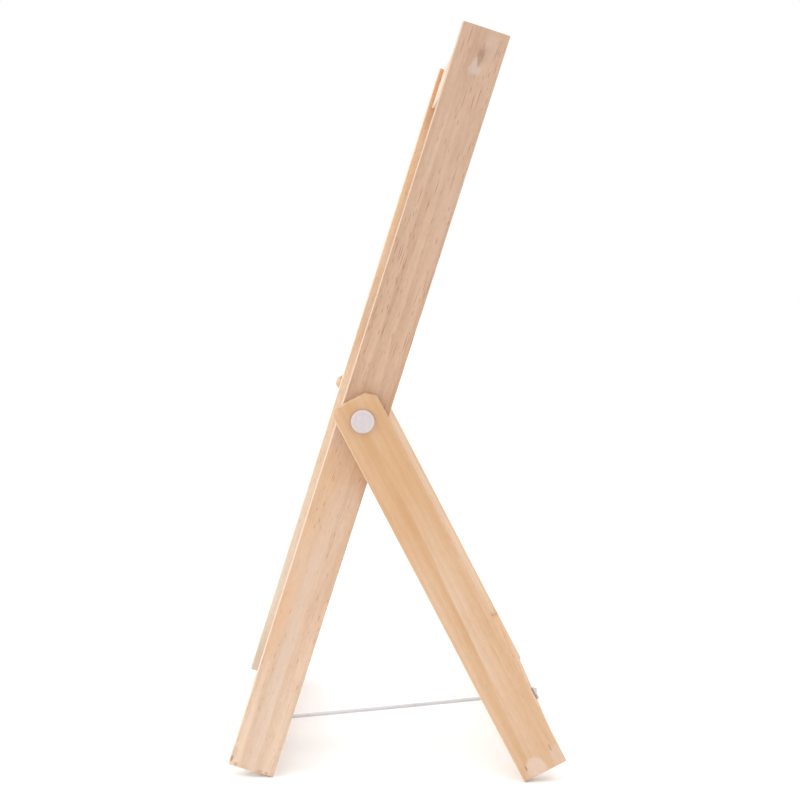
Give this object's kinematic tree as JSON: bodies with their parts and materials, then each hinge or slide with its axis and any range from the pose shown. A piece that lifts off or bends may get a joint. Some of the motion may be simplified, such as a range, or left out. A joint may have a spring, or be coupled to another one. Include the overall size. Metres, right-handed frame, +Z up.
{
  "type": "easel",
  "caption": "Folding wooden floor easel with a leaning front frame, board and tray, rear legs on side pivots and a limiting cord.",
  "frame": {"origin": "on the floor under the middle of the open easel's bounding box", "axes": "+X to the easel's left as it faces its user, +Y from the display side to the back, +Z up"},
  "size_m": [0.453, 0.5352, 1.1791],
  "materials": {
    "pine_frame": "bare planed pine, pinkish",
    "pine_legs": "bare planed pine, yellower",
    "beech_dowel": "fluted dowel, glued",
    "board": "lacquered hardboard, white in front and black behind",
    "zinc": "zinc plated",
    "white_plastic": "moulded, satin",
    "cord": "braided synthetic cord"
  },
  "bodies": {
    "front_frame": {"post_left": "pine_frame", "post_right": "pine_frame", "top_rail": "pine_frame", "front_bottom_rail": "pine_frame", "tray_base": "pine_frame", "tray_lip": "pine_frame", "drawing_board": "board", "front_knot": "cord", "spacer_washer_left": "white_plastic", "spacer_washer_right": "white_plastic", "inner_washer_left": "zinc", "inner_washer_right": "zinc", "top_rail_dowel_1": "beech_dowel", "top_rail_dowel_2": "beech_dowel", "top_rail_dowel_3": "beech_dowel", "top_rail_dowel_4": "beech_dowel", "bottom_rail_dowel_1": "beech_dowel", "bottom_rail_dowel_2": "beech_dowel", "bottom_rail_dowel_3": "beech_dowel", "bottom_rail_dowel_4": "beech_dowel", "tray_dowel_1": "beech_dowel", "tray_dowel_2": "beech_dowel", "tray_dowel_3": "beech_dowel", "tray_dowel_4": "beech_dowel", "cord": "cord"},
    "rear_frame": {"leg_left": "pine_legs", "leg_right": "pine_legs", "rear_rail": "pine_legs", "rear_knot": "cord", "pivot_bolt_left": "zinc", "pivot_bolt_right": "zinc", "pivot_nut_left": "zinc", "pivot_nut_right": "zinc", "outer_cap_left": "white_plastic", "outer_cap_right": "white_plastic", "inner_cap_left": "white_plastic", "inner_cap_right": "white_plastic", "rear_rail_dowel_1": "beech_dowel", "rear_rail_dowel_2": "beech_dowel", "rear_rail_dowel_3": "beech_dowel", "rear_rail_dowel_4": "beech_dowel"}
  },
  "joints": [
    {"name": "leg_fold", "type": "hinge", "parent": "front_frame", "child": "rear_frame", "pos_m": [0, -0.05937, 0.57471], "axis": [-1, 0, 0], "range_deg": [0, 41], "deforming": ["cord"]}
  ]
}
